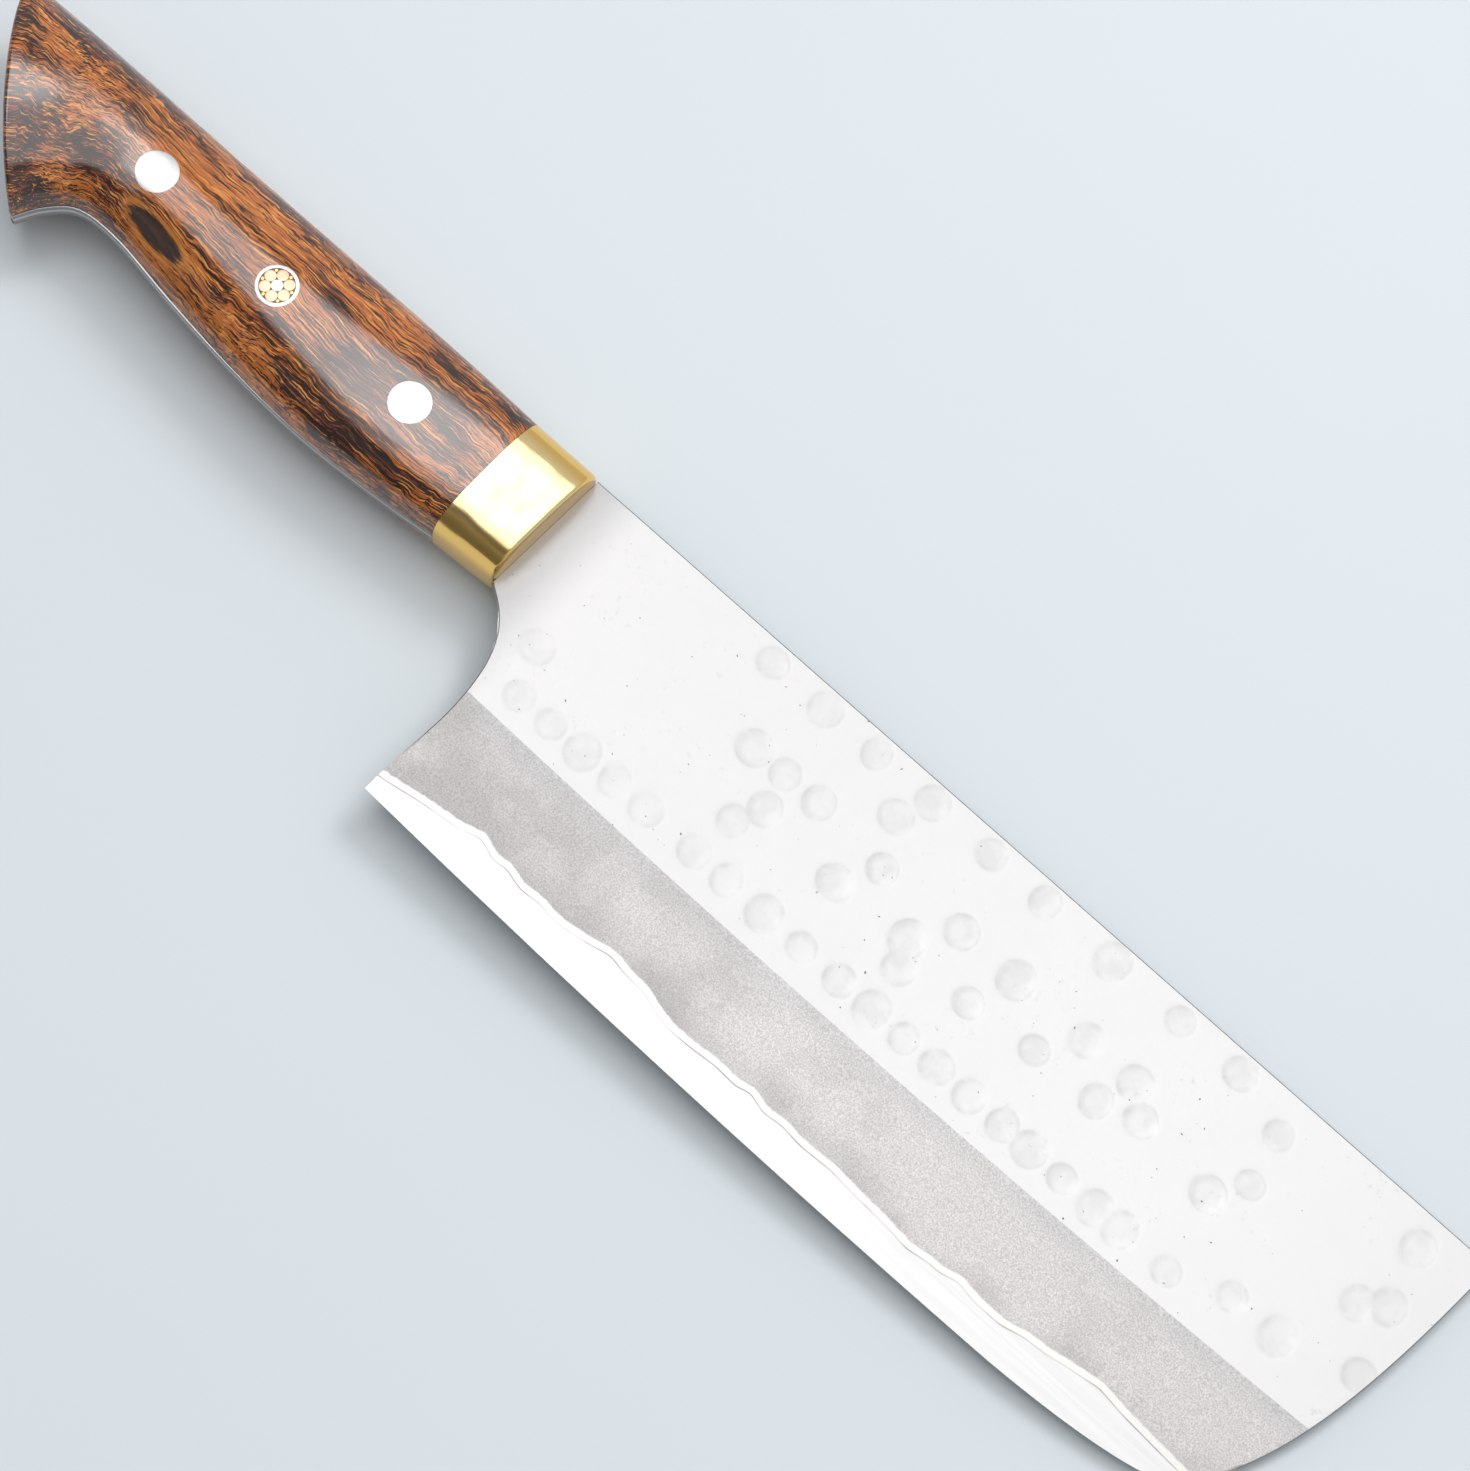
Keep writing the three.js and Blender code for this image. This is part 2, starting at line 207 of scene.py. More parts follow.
# Net sizes
BLADE_COLUMNS = 420
HAMMERED_ROWS = 92
BEVEL_ROWS = 14
PLATE_ROWS = 24
STRIP_ROWS = 5
HANDLE_RINGS = 120
HANDLE_ACROSS = 44
TANG_POINTS = 60
BUTT_POINTS = 16
BUTT_RINGS = 6
ROUND_RINGS = 8
COLLAR_RINGS = 14
PIN_SIDES = 72
BORE_SIDES = 64
BOLSTER_PIN_SIDES = 48
ROD_SIDES = 32
BORE_REACH = 30
BLADE_PASSES = 12
HANDLE_PASSES = 40
MERGE_DISTANCE = 1e-7

# Face turns, in degrees, up to which a piece is shaded smooth
CORE_SMOOTHING = 25
CLADDING_SMOOTHING = 30
HANDLE_SMOOTHING = 35
PIN_SMOOTHING = 40

# Least upward normals of a cladding's face and of a rod's end, and where the tang begins
FACE_NORMAL = 0.8
END_NORMAL = 0.9
TANG_START = -1

# Camera and floor
CAMERA_PLACE = (102.05, -155.95, 570.29)
CAMERA_AIM = (38.91, -14.27, 0)
CAMERA_UP = (-0.6584, 0.7102, 0.2493)
FLOOR_UNDER_BOLSTER = (-0.9, 0, -7.97)
FLOOR_SLOPE = 0.0393
SENSOR_WIDTH = 36

# Floor and lamps in metres
FLOOR_SIZE = 6
SOFTBOX_PLACE = (0.09, 0.24, 1.0)
SOFTBOX_SIZE = (0.86, 1.38)
STRIP_PLACE = (-0.345, 0.2, 0.99)
STRIP_SIZE = (0.31, 0.66)
KEY_PLACE = (0.05, 0.75, 0.9)
KEY_SIZE = (0.4, 0.4)
KEY_TILT = -0.69

# Room: directions in which its walls meet the ceiling and each other, and the tint of its light
WALL_TOP = (0.66, 0.82)
WALL_SIDES = (-0.95, -0.25)
ROOM_TINT = (0.95, 0.98, 1.0)

core_low, core_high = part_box("core_steel")
ORIGIN = np.array([
    core_high[0] / MM - TIP_X,
    core_low[1] / MM - EDGE_LOWEST[1],
    (core_low[2] + core_high[2]) / 2 / MM,
])


# Curves and outlines

def smooth_step(value, low, high):
    part = np.clip((value - low) / (high - low), 0, 1)
    return part * part * (3 - 2 * part)


def bezier(start, pulls, end, steps=60):
    """Points of a cubic curve from start to end."""
    t = np.linspace(0, 1, steps + 1)[:, None]
    first, second = (np.asarray(pull, float) for pull in pulls)
    start, end = np.asarray(start, float), np.asarray(end, float)
    return start * (1 - t) ** 3 + 3 * first * t * (1 - t) ** 2 + 3 * second * t * t * (1 - t) + end * t ** 3


def spline(values, along):
    """Catmull-Rom curve through evenly spaced values, with along running from 0 to 1."""
    values = np.asarray(values, float)
    last = len(values) - 1
    place = np.clip(np.asarray(along, float), 0, 1) * last
    first = np.minimum(place.astype(int), last - 1)
    weight = (place - first)[..., None]
    before, start = values[np.maximum(first - 1, 0)], values[first]
    end, after = values[first + 1], values[np.minimum(first + 2, last)]
    leave, arrive = (end - before) / 2, (after - start) / 2
    cubic = (2 * start - 2 * end + leave + arrive) * weight ** 3
    square = (3 * end - 3 * start - 2 * leave - arrive) * weight ** 2
    return cubic + square + leave * weight + start


def parabola(lowest, bow, x):
    return lowest[1] + bow * (np.maximum(x, HEEL_X) - lowest[0]) ** 2


def grind_height(x):
    return parabola(GRIND_LOWEST, GRIND_BOW, x)


def band_height(x):
    """Upper limit of the polished band, rounded between its points."""
    places, heights = np.array(BAND_LINE).T
    spread = np.linspace(-BAND_ROUNDING, BAND_ROUNDING, BAND_SAMPLES)
    return np.mean([np.interp(x + step, places, heights) for step in spread], axis=0)


CHOIL_EDGE = np.vstack([
    [(WELD_GAP, 0)],
    bezier(CHOIL_START, CHOIL_UPPER_PULLS, CHOIL_TURN),
    bezier(CHOIL_TURN, CHOIL_LOWER_PULLS, (HEEL_X, HEEL_Y))[1:],
])
TIP_EDGE = bezier((TIP_X, 0), TIP_UPPER_PULLS[::-1], TIP_TURN)
EDGE_END = (EDGE_END_X, float(parabola(EDGE_LOWEST, EDGE_BOW, EDGE_END_X)))
LOWER_TIP = bezier(EDGE_END, TIP_LOWER_PULLS, TIP_TURN)


def blade_left(y):
    return np.interp(-y, -CHOIL_EDGE[:, 1], CHOIL_EDGE[:, 0])


def blade_right(y):
    return np.interp(-y, -TIP_EDGE[:, 1], TIP_EDGE[:, 0])


def edge_height(x):
    tip = np.interp(x, LOWER_TIP[:, 0], LOWER_TIP[:, 1])
    return np.where(x < EDGE_END_X, parabola(EDGE_LOWEST, EDGE_BOW, x), tip)


def face_height(x, y):
    """Height of the blade's face above the middle of its thickness."""
    grind = grind_height(x)
    edge = parabola(EDGE_LOWEST, EDGE_BOW, x)
    part = np.clip((y - edge) / (grind - edge), 0, 1)
    return EDGE_HALF + (BLADE_HALF - EDGE_HALF) * part


# Handle form

def handle_section(along):
    """Spine and belly points, half thickness, squareness and bow of the handle at one place along it."""
    spine, belly = spline(SPINE_LINE, along), spline(BELLY_LINE, along)
    half, power = spline(HALF_AND_POWER, along)
    line = (spine - belly) / np.linalg.norm(spine - belly)
    outward = np.array([-line[1], line[0]])
    bow = outward * BUTT_BOW * float(smooth_step(along, BUTT_BOW_START, 1))
    return {"spine": spine, "belly": belly, "half": half, "power": power, "bow": bow, "outward": outward}


def bolster_section(along):
    section = {"bow": np.zeros(2)}
    for key in BOLSTER_FRONT:
        front, rear = np.asarray(BOLSTER_FRONT[key], float), np.asarray(BOLSTER_REAR[key], float)
        section[key] = front * (1 - along) + rear * along
    return section


def drawn_in(section, amount):
    """The same section, smaller by amount all round."""
    line = section["spine"] - section["belly"]
    step = line / np.linalg.norm(line) * amount
    smaller = {"spine": section["spine"] - step, "belly": section["belly"] + step}
    return {**section, **smaller, "half": section["half"] - amount}


def section_line(section, across):
    """Points from the belly to the spine of a section, along its bow."""
    flat = section["belly"] + (section["spine"] - section["belly"]) * across
    return flat + section["bow"] * 4 * across * (1 - across)


def section_ring(section, floor=None):
    """Closed ring of points: the whole section, or its right side above a flat floor."""
    half, power = section["half"], section["power"]
    start = 0 if floor is None else math.asin(min(floor / half, 1) ** (power / 2))
    angle = np.linspace(start, math.pi - start, HANDLE_ACROSS + 1)
    reach = np.cos(angle)
    across = (0.5 + 0.5 * np.sign(reach) * np.abs(reach) ** (2 / power))[:, None]
    rise = half * np.clip(np.sin(angle), 0, 1) ** (2 / power)
    rise[[0, -1]] = floor or 0
    flat = section_line(section, across)
    under = -rise if floor is None else np.full_like(rise, floor)
    upper = np.column_stack([flat, rise])
    lower = np.column_stack([flat, under])[-2:0:-1]
    return np.vstack([upper, lower])


def handle_place(x, y):
    """Along and across of the handle section that passes through each point."""
    low, high = np.zeros_like(x), np.ones_like(x)
    point = np.stack([x, y], axis=-1)
    for _ in range(HANDLE_PASSES):
        middle = (low + high) / 2
        belly = spline(BELLY_LINE, middle)
        line = spline(SPINE_LINE, middle) - belly
        from_belly = point - belly
        ahead = line[..., 0] * from_belly[..., 1] - line[..., 1] * from_belly[..., 0] < 0
        high = np.where(ahead, middle, high)
        low = np.where(ahead, low, middle)
    across = np.sum(from_belly * line, axis=-1) / np.sum(line * line, axis=-1)
    return middle, across


def handle_rise(x, y):
    """Height of the handle's surface above the middle of the blade."""
    along, across = handle_place(np.asarray(x, float), np.asarray(y, float))
    half, power = np.moveaxis(spline(HALF_AND_POWER, along), -1, 0)
    return half * np.clip(1 - np.abs(2 * across - 1) ** power, 0, 1) ** (1 / power)


# Mesh tools

def read_points(piece):
    flat = np.empty(len(piece.data.vertices) * 3)
    piece.data.vertices.foreach_get("co", flat)
    return flat.reshape(-1, 3) / MM - ORIGIN


def put_points(piece, points):
    piece.data.vertices.foreach_set("co", ((np.asarray(points) + ORIGIN) * MM).ravel())
    piece.data.update()


def read_faces(piece, key):
    flat = np.empty(len(piece.data.polygons) * 3)
    piece.data.polygons.foreach_get(key, flat)
    return flat.reshape(-1, 3)


def clear_selection():
    bpy.ops.object.select_all(action="DESELECT")


def select_only(*pieces):
    clear_selection()
    for piece in pieces:
        piece.select_set(True)
    bpy.context.view_layer.objects.active = pieces[0]


def new_piece(name):
    """The primitive that was just added, at the origin with its place in its mesh."""
    piece = bpy.context.object
    bpy.ops.object.transform_apply(location=True, rotation=True, scale=True)
    piece.name = name
    piece.data.name = name
    return piece


def start_edit():
    """Enters edit mode with the whole mesh selected."""
    bpy.ops.object.mode_set(mode="EDIT")
    bpy.ops.mesh.select_all(action="SELECT")


def end_edit():
    """Leaves edit mode with every face pointing outwards."""
    bpy.ops.mesh.select_all(action="SELECT")
    bpy.ops.mesh.normals_make_consistent(inside=False)
    bpy.ops.object.mode_set(mode="OBJECT")


def add_net(name, points):
    """A grid primitive laid over points[row, column]."""
    rows, columns = points.shape[:2]
    clear_selection()
    bpy.ops.mesh.primitive_grid_add(x_subdivisions=columns - 1, y_subdivisions=rows - 1, size=1)
    piece = new_piece(name)
    flat = np.empty(rows * columns * 3)
    piece.data.vertices.foreach_get("co", flat)
    flat = flat.reshape(-1, 3)
    column = np.rint((flat[:, 0] + 0.5) * (columns - 1)).astype(int)
    row = np.rint((flat[:, 1] + 0.5) * (rows - 1)).astype(int)
    put_points(piece, points[row, column])
    return piece


def add_loft(name, rings):
    """A closed skin over rings of points, with both ends filled."""
    rings = np.asarray(rings)
    piece = add_net(name, np.concatenate([rings, rings[:, :1]], axis=1))
    start_edit()
    bpy.ops.mesh.remove_doubles(threshold=MERGE_DISTANCE)
    bpy.ops.mesh.fill_holes(sides=0)
    end_edit()
    return piece


def add_plate(name, outline, low, high):
    """A flat plate: a filled circle put on the outline and extruded."""
    clear_selection()
    bpy.ops.mesh.primitive_circle_add(vertices=len(outline), radius=MM, fill_type="NGON")
    piece = new_piece(name)
    put_points(piece, np.column_stack([outline, np.full(len(outline), low)]))
    start_edit()
    bpy.ops.mesh.extrude_region_move(TRANSFORM_OT_translate={"value": (0, 0, (high - low) * MM)})
    end_edit()
    return piece


def cut_away(piece, cutter):
    """Takes the cutter's body out of the piece."""
    select_only(piece)
    cut = piece.modifiers.new("cut", "BOOLEAN")
    cut.operation = "DIFFERENCE"
    cut.solver = "MANIFOLD"
    cut.object = cutter
    bpy.ops.object.modifier_apply(modifier=cut.name)
    piece.data.materials.clear()
    select_only(cutter)
    bpy.ops.object.delete()


def add_cylinder(name, place, radius, reach, sides):
    """A cylinder along Z that reaches equally far to both sides of the blade's middle."""
    at = (np.array([*place, 0]) + ORIGIN) * MM
    clear_selection()
    bpy.ops.mesh.primitive_cylinder_add(vertices=sides, radius=radius * MM, depth=2 * reach * MM, location=at)
    return new_piece(name)


def bore(piece, place, radius, sides=BORE_SIDES, reach=BORE_REACH):
    """Drills a round hole along Z."""
    cut_away(piece, add_cylinder("drill", place, radius, reach, sides))


def shade(piece, degrees):
    select_only(piece)
    bpy.ops.object.shade_smooth_by_angle(angle=math.radians(degrees))


def fit(piece, node, slot, *finishes):
    """Gives a piece its finishes and makes it stand for its solid."""
    for finish in finishes:
        piece.data.materials.append(finish)
    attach(piece, "root")
    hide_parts(node)


def add_measure(piece, name, values):
    """Keeps a number, or three of them, on every point of a piece for its finish to read."""
    kind = "FLOAT" if values.ndim == 1 else "FLOAT_VECTOR"
    measure = piece.data.attributes.new(name, kind, "POINT")
    measure.data.foreach_set("value" if values.ndim == 1 else "vector", values.ravel())


# Finishes

class Recipe:
    """A material or a world made node by node. A socket takes a value or the output of another node."""

    def __init__(self, owner):
        owner.use_nodes = True
        self.owner = owner
        self.tree = owner.node_tree

    def feed(self, socket, value):
        if isinstance(value, bpy.types.NodeSocket):
            self.tree.links.new(value, socket)
        else:
            socket.default_value = value

    def node(self, kind, sockets, **settings):
        node = self.tree.nodes.new("ShaderNode" + kind)
        for name, value in settings.items():
            setattr(node, name, value)
        for key, value in sockets.items():
            self.feed(node.inputs[key], value)
        return node

    def surface(self, **sockets):
        """The material, with these sockets of its shader fed."""
        shader = self.tree.nodes["Principled BSDF"]
        for key, value in sockets.items():
            name = key.replace("_", " ").title().replace("Ior", "IOR")
            self.feed(shader.inputs[name], value)
        return self.owner

    def place(self):
        """Millimetres from the bolster's front edge."""
        point = self.node("TexCoord", {}).outputs["Object"]
        return self.stretch(point, (1 / MM,) * 3, [-value for value in ORIGIN])

    def parts(self, vector):
        return list(self.node("SeparateXYZ", {0: vector}).outputs)

    def measure(self, name):
        return self.node("Attribute", {}, attribute_name=name)

    def stretch(self, vector, scale, location=(0, 0, 0)):
        return self.node("Mapping", {"Vector": vector, "Scale": scale, "Location": location}).outputs[0]

    def noise(self, vector, scale=1.0, detail=2.0, roughness=0.5):
        sockets = {"Vector": vector, "Scale": scale, "Detail": detail, "Roughness": roughness}
        return self.node("TexNoise", sockets).outputs[0]

    def math(self, operation, first, second=0.0):
        return self.node("Math", {0: first, 1: second}, operation=operation).outputs[0]

    def between(self, value, low, high, start=0.0, end=1.0):
        sockets = {"Value": value, "From Min": low, "From Max": high, "To Min": start, "To Max": end}
        return self.node("MapRange", sockets, interpolation_type="SMOOTHSTEP").outputs[0]

    def swing(self, value, reach):
        """A noise made to swing to both sides of nothing."""
        return self.math("MULTIPLY", self.math("SUBTRACT", value, 0.5), reach)

    def mix(self, factor, first, second):
        return self.node("Mix", {0: factor, 6: first, 7: second}, data_type="RGBA").outputs[2]

    def bump(self, height, distance):
        return self.node("Bump", {"Height": height, "Distance": distance * MM}).outputs[0]

    def hill(self, x, y, place, reach):
        """One in the middle of an oval and fading to nothing round it."""
        squares = []
        for value, middle, width in zip((x, y), place, reach):
            part = self.math("DIVIDE", self.math("SUBTRACT", value, middle), width)
            squares.append(self.math("MULTIPLY", part, part))
        return self.math("EXPONENT", self.math("MULTIPLY", self.math("ADD", *squares), -1.0))


def new_finish(name):
    return Recipe(bpy.data.materials.new(name))


def rgba(colour, share=1.0):
    """A colour for a socket, at a share of its brightness."""
    return (*(value * share for value in colour), 1.0)


def hammered_finish(blade):
    """Bright steel with pits and stains, with painted shade in the hammer marks and towards the heel, and a
    painted reflection of the bolster beside it.
    """
    recipe = new_finish("hammered_steel")
    place = recipe.place()
    along = recipe.parts(place)[0]
    cloud = recipe.noise(place, 0.09, 4)
    grain = recipe.noise(place, 2.4, 3)
    pits = recipe.between(recipe.noise(place, 1.5, 1), 0.77, 0.795)
    blotch = recipe.between(recipe.noise(place, 0.9, 4, 0.7), 0.58, 0.72)
    stain = recipe.math("MULTIPLY", blotch, recipe.between(cloud, 0.5, 0.62))
    # Painted shade: the steel darkens towards the heel, against the strip lamp's extra light there.
    heel_shade = recipe.between(along, 10, 160, 0.56, 0.0)
    # Painted reflection of the bolster: the steel is greyer within 10 mm of it.
    bolster_reflection = recipe.between(along, 0, 10, 1.0, 0.0)
    colour = recipe.mix(cloud, rgba(blade.steel_colour, 0.95), rgba(blade.steel_colour))
    colour = recipe.mix(heel_shade, colour, rgba(blade.steel_colour, 0.65))
    colour = recipe.mix(bolster_reflection, colour, rgba(blade.steel_colour, 0.54))
    colour = recipe.mix(recipe.math("MULTIPLY", stain, 0.45), colour, rgba(blade.steel_colour, 0.6))
    # Painted shade in the hammer marks: the discs darken, most near their rims, patchily and less towards the
    # tip.
    hollow = recipe.measure("hollow").outputs["Fac"]
    inside = recipe.between(hollow, 0.25, 0.6, 0.52, 0.32)
    rim = recipe.math("MULTIPLY", recipe.between(hollow, 0.02, 0.22), inside)
    patchy = recipe.between(recipe.noise(place, 0.35, 3), 0.35, 0.65, 0.15, 1.15)
    toward_tip = recipe.between(along, 70, 150, 1.0, 0.65)
    painted_mark_shade = recipe.math("MULTIPLY", recipe.math("MULTIPLY", rim, patchy), toward_tip)
    colour = recipe.mix(painted_mark_shade, colour, rgba(blade.steel_colour, 0.66))
    colour = recipe.mix(pits, colour, rgba(blade.steel_colour, 0.3))
    height = recipe.math("SUBTRACT", recipe.math("MULTIPLY", grain, 0.01), pits)
    return recipe.surface(
        base_color=colour,
        metallic=1.0,
        roughness=recipe.between(grain, 0.3, 0.7, 0.44, 0.46),
        normal=recipe.bump(height, 0.03),
    )


def bevel_finish(blade):
    """Blasted steel, darker by the heel and the polished band, with the thin weld line under that band."""
    recipe = new_finish("blasted_bevel")
    place = recipe.place()
    above_weld = recipe.measure("above_weld").outputs["Fac"]
    below_grind = recipe.measure("below_grind").outputs["Fac"]
    along = recipe.parts(place)[0]
    speckle = recipe.noise(place, 4.0, 3, 0.8)
    cloud = recipe.noise(place, 0.08, 3, 0.6)
    fray = recipe.noise(place, 1.3, 3, 0.6)
    toward_tip = recipe.between(along, 0, 120, -0.35, 0.5)
    paleness = recipe.math("ADD", toward_tip, recipe.between(cloud, 0.3, 0.7, -0.1, 0.5))
    paleness = recipe.math("ADD", paleness, recipe.between(above_weld, 1, 7, 0.0, 0.4))
    matt = recipe.mix(paleness, rgba(blade.bevel_colour, 0.8), rgba(blade.bevel_colour, 1.16))
    under_grind = recipe.between(below_grind, 0.2, 4.0, 0.3, 0.0)
    strip = recipe.math("MULTIPLY", under_grind, recipe.between(cloud, 0.35, 0.6, 0.35, 1.0))
    matt = recipe.mix(strip, matt, rgba(GRIND_STRIP_COLOUR))
    matt = recipe.mix(recipe.between(speckle, 0.34, 0.66, 0.46, 0.0), matt, rgba(SPECKLE_COLOUR))
    rim = recipe.math("ADD", above_weld, recipe.swing(fray, 0.5))
    blasted = recipe.between(rim, blade.band_width - 0.2, blade.band_width + 0.15)
    broken = recipe.between(cloud, 0.4, 0.6, 0.3, 1.0)
    line = recipe.math("MULTIPLY", recipe.between(above_weld, 0.08, 0.24, 0.7, 0.0), broken)
    band = recipe.mix(line, rgba(blade.band_colour), rgba(WELD_LINE_COLOUR))
    height = recipe.math("MULTIPLY", speckle, blasted)
    return recipe.surface(
        base_color=recipe.mix(blasted, band, matt),
        metallic=1.0,
        roughness=recipe.between(blasted, 0, 1, 0.46, 0.52),
        normal=recipe.bump(height, 0.03),
    )


def core_finish(blade):
    recipe = new_finish("polished_core_steel")
    place = recipe.place()
    draw = recipe.noise(recipe.stretch(place, (0.05, 3.0, 3.0)), 1.0, 3)
    colour = recipe.mix(draw, rgba(blade.core_colour, 0.985), rgba(blade.core_colour))
    return recipe.surface(
        base_color=colour,
        metallic=1.0,
        roughness=recipe.between(draw, 0.3, 0.7, 0.42, 0.48),
        normal=recipe.bump(draw, 0.001),
    )


def plate_edge_finish(blade):
    recipe = new_finish("ground_plate_edge")
    draw = recipe.noise(recipe.stretch(recipe.place(), (0.3, 4.0, 4.0)), 1.0, 3)
    colour = recipe.mix(draw, rgba(blade.steel_colour, 0.4), rgba(blade.steel_colour, 0.6))
    return recipe.surface(base_color=colour, metallic=1.0, roughness=0.35, normal=recipe.bump(draw, 0.01))


def wood_finish(handle):
    """Figured wood: thin dark streaks, deeper bands, a knot and patches that are partly painted shade, on a
    pale ground under clear polish.
    """
    recipe = new_finish("figured_wood")
    grain = recipe.measure("grain").outputs["Vector"]
    along, across, height = recipe.parts(grain)
    sway = recipe.noise(recipe.stretch(grain, (0.04, 0.1, 0.1)), 1.0, 2)
    ripple = recipe.noise(recipe.stretch(grain, (0.3, 0.2, 0.2)), 1.0, 2)
    bent = recipe.math("ADD", across, recipe.swing(sway, 4.5))
    bent = recipe.math("ADD", bent, recipe.swing(ripple, 1.3))
    knot = recipe.hill(along, across, KNOT_PLACE, KNOT_REACH)
    pinch = recipe.math("MULTIPLY", recipe.math("SUBTRACT", across, KNOT_PLACE[1]), knot)
    bent = recipe.math("SUBTRACT", bent, recipe.math("MULTIPLY", pinch, 0.8))
    fibre = recipe.node("CombineXYZ", {0: along, 1: bent, 2: height}).outputs[0]
    broad = recipe.noise(recipe.stretch(fibre, (0.06, 0.2, 0.16)), 1.0, 2)
    fleck = recipe.noise(recipe.stretch(fibre, (0.18, 4.0, 2.1), (7, 3, 0)), 1.0, 2, 0.6)
    streak = recipe.noise(recipe.stretch(fibre, (0.14, 5.4, 2.8)), 1.0, 2, 0.6)
    pore = recipe.noise(recipe.stretch(fibre, (0.6, 7.0, 3.6)), 1.0, 1)
    # Darkening from the knot and the patches: partly the wood's figure, partly painted shade.
    figure_and_shade = recipe.math("MULTIPLY", knot, 0.1)
    for place, reach, strength in FIGURE_AND_SHADE_PATCHES:
        patch = recipe.math("MULTIPLY", recipe.hill(along, across, place, reach), strength)
        figure_and_shade = recipe.math("ADD", figure_and_shade, patch)
    depth = recipe.math("SUBTRACT", broad, figure_and_shade)
    ground = recipe.mix(recipe.between(depth, 0.36, 0.56), rgba(handle.wood_red), rgba(handle.wood_orange))
    ground = recipe.mix(recipe.between(fleck, 0.5, 0.62, 0.0, 0.9), ground, rgba(handle.wood_gold))
    edge = recipe.between(depth, 0.3, 0.65, 0.57, 0.455)
    vein = recipe.between(recipe.math("SUBTRACT", edge, streak), -0.03, 0.045)
    vein = recipe.math("MAXIMUM", vein, recipe.between(pore, 0.4, 0.33, 0.0, 0.8))
    vein = recipe.math("MAXIMUM", vein, recipe.between(depth, 0.26, 0.16, 0.0, 0.85))
    frayed = recipe.math("ADD", knot, recipe.swing(fleck, 0.6))
    heart = recipe.between(frayed, 0.42, 0.6)
    halo = recipe.between(frayed, 0.2, 0.42)
    ground = recipe.mix(recipe.math("MULTIPLY", halo, 0.45), ground, rgba(handle.wood_gold))
    vein = recipe.math("MULTIPLY", vein, recipe.between(halo, 0, 1, 0.97, 0.45))
    heart = recipe.math("MULTIPLY", heart, recipe.between(streak, 0.35, 0.65, 0.99, 0.94))
    vein = recipe.math("MAXIMUM", vein, heart)
    colour = recipe.mix(vein, ground, rgba(handle.wood_dark))
    return recipe.surface(
        base_color=colour,
        roughness=0.5,
        specular_ior_level=0.0,
        coat_weight=1.0,
        coat_roughness=0.17,
        coat_ior=1.78,
        normal=recipe.bump(pore, 0.01),
    )


def polished_finish(name, colour, roughness, rub_depth=0.002, swell_depth=0.0, crown_highlight_colour=None):
    """Polished metal, rubbed along the handle and slightly uneven, with a painted highlight on its crown if
    asked.
    """
    recipe = new_finish(name)
    place = recipe.place()
    wear = recipe.noise(place, 0.35, 3)
    rub = recipe.noise(recipe.stretch(place, (0.06, 1.8, 1.8)), 1.0, 3)
    swell = recipe.noise(place, 0.16, 1)
    rubbing = recipe.math("MULTIPLY", rub, rub_depth)
    height = recipe.math("ADD", rubbing, recipe.math("MULTIPLY", swell, swell_depth))
    metal = recipe.mix(wear, rgba(colour, 0.94), rgba(colour))
    # Painted highlight: a paler colour where the piece rises highest.
    if crown_highlight_colour:
        rise = recipe.math("ABSOLUTE", recipe.parts(place)[2])
        metal = recipe.mix(recipe.between(rise, *CROWN_RISE), metal, rgba(crown_highlight_colour))
    return recipe.surface(
        base_color=metal,
        metallic=1.0,
        roughness=recipe.between(rub, 0.25, 0.75, roughness * 0.85, roughness * 1.15),
        normal=recipe.bump(height, 1.0),
    )


def resin_finish(handle):
    recipe = new_finish("dark_resin")
    cloud = recipe.noise(recipe.place(), 1.5, 2)
    colour = recipe.mix(cloud, rgba(handle.resin_colour, 0.6), rgba(handle.resin_colour))
    return recipe.surface(base_color=colour, roughness=0.3, normal=recipe.bump(cloud, 0.01))


def floor_finish(stage):
    recipe = new_finish("pale_table")
    cloud = recipe.noise(recipe.place(), 0.012, 3)
    colour = recipe.mix(cloud, rgba(stage.floor_colour, 0.98), rgba(stage.floor_colour))
    return recipe.surface(base_color=colour, roughness=0.9, specular_ior_level=0.1)


# Settings

def colour_setting(name, description, default):
    return bpy.props.FloatVectorProperty(
        name=name, description=description, default=default, subtype="COLOR", size=3, min=0.0, max=1.0,
    )


def number_setting(name, description, default, least=0.0):
    return bpy.props.FloatProperty(name=name, description=description, default=default, min=least)


class KnifeBladeSettings(bpy.types.PropertyGroup):
    """Finish of the blade."""
    mark_radius: number_setting("Hammer mark radius", "Radius of a hammer mark in millimetres", 3.0, 0.5)
    mark_depth: number_setting("Hammer mark depth", "Depth of a shallow mark in millimetres", 0.06)
    band_width: number_setting("Band width", "Width of the polished band in millimetres", 1.15, 0.2)
    steel_colour: colour_setting("Hammered steel", "Colour above the grind line", (0.624, 0.614, 0.616))
    bevel_colour: colour_setting("Blasted bevel", "Colour below the grind line", (0.578, 0.56, 0.553))
    band_colour: colour_setting("Polished band", "Colour above the weld line", (0.66, 0.655, 0.635))
    core_colour: colour_setting("Core steel", "Colour of the strip along the edge", (0.625, 0.625, 0.622))


